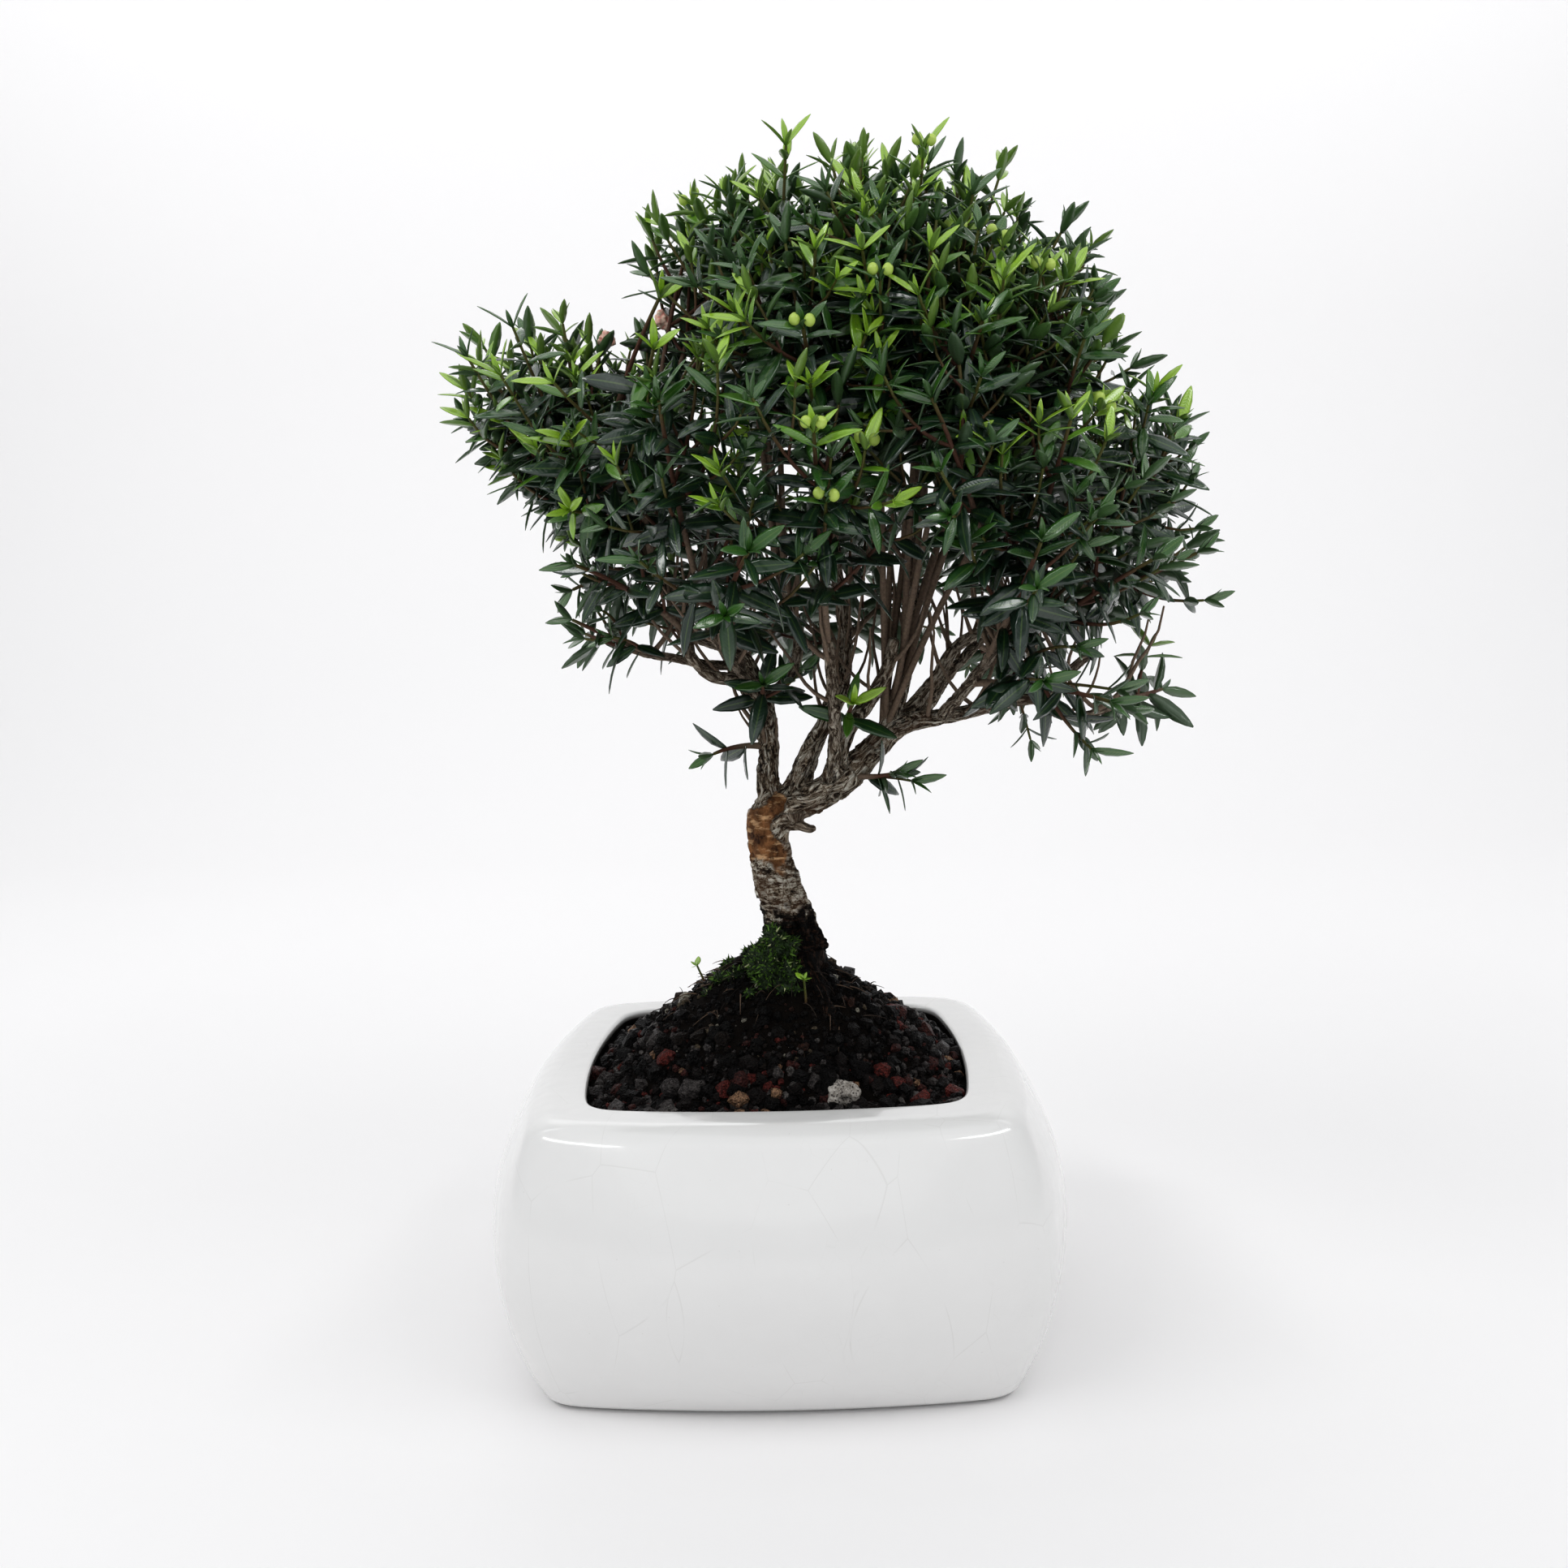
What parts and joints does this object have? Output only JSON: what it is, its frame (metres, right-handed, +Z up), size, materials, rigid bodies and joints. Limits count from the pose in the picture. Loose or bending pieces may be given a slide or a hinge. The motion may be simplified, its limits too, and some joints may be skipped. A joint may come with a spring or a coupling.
{
  "type": "potted bonsai tree",
  "caption": "Small-leaved myrtle bonsai with an S-bent trunk and a domed leafy crown, growing from a gritty mound in a white glazed square pot.",
  "frame": {"origin": "centre of the pot's flat underside, on the surface it stands on", "axes": "+Z up along the height, +X to the viewer's right and +Y away from the viewer in the picture, which looks square at one side of the pot"},
  "size_m": [0.227, 0.1976, 0.3516],
  "materials": {
    "glaze": "glossy white glaze with faint craze lines",
    "drain_mesh": "matt black",
    "soil": "moist dark lava grit",
    "moss": "dense dark green moss",
    "pumice": "pale porous stone",
    "bark": "flaking grey-brown bark, orange where it has peeled",
    "leaf": "leathery dark green, slightly glossy",
    "seedling": "soft pale green",
    "petal": "withered pale pink"
  },
  "bodies": {
    "root": {"pot": "glaze", "drain_mesh_left": "drain_mesh", "drain_mesh_right": "drain_mesh", "soil": "soil", "moss": "moss", "pumice_stone": "pumice", "trunk": "bark", "spray_bend": "leaf", "spray_fork": "leaf", "spray_inner": "leaf", "spray_left_limb": "leaf", "spray_left_skirt_1": "leaf", "spray_left_skirt_2": "leaf", "spray_lower_1": "leaf", "spray_lower_10": "leaf", "spray_lower_2": "leaf", "spray_lower_3": "leaf", "spray_lower_4": "leaf", "spray_lower_5": "leaf", "spray_lower_6": "leaf", "spray_lower_7": "leaf", "spray_lower_8": "leaf", "spray_lower_9": "leaf", "spray_middle_1": "leaf", "spray_middle_10": "leaf", "spray_middle_11": "leaf", "spray_middle_2": "leaf", "spray_middle_3": "leaf", "spray_middle_4": "leaf", "spray_middle_5": "leaf", "spray_middle_6": "leaf", "spray_middle_7": "leaf", "spray_middle_8": "leaf", "spray_middle_9": "leaf", "spray_right_skirt_1": "leaf", "spray_right_skirt_2": "leaf", "spray_right_skirt_3": "leaf", "spray_shoulder_1": "leaf", "spray_shoulder_10": "leaf", "spray_shoulder_2": "leaf", "spray_shoulder_3": "leaf", "spray_shoulder_4": "leaf", "spray_shoulder_5": "leaf", "spray_shoulder_6": "leaf", "spray_shoulder_7": "leaf", "spray_shoulder_8": "leaf", "spray_shoulder_9": "leaf", "spray_top_1": "leaf", "spray_upper_1": "leaf", "spray_upper_2": "leaf", "spray_upper_3": "leaf", "spray_upper_4": "leaf", "spray_upper_5": "leaf", "spray_upper_6": "leaf", "flower_upper": "petal", "flower_lower": "petal", "seedling_tall": "seedling", "seedling_front": "seedling"}
  },
  "joints": []
}
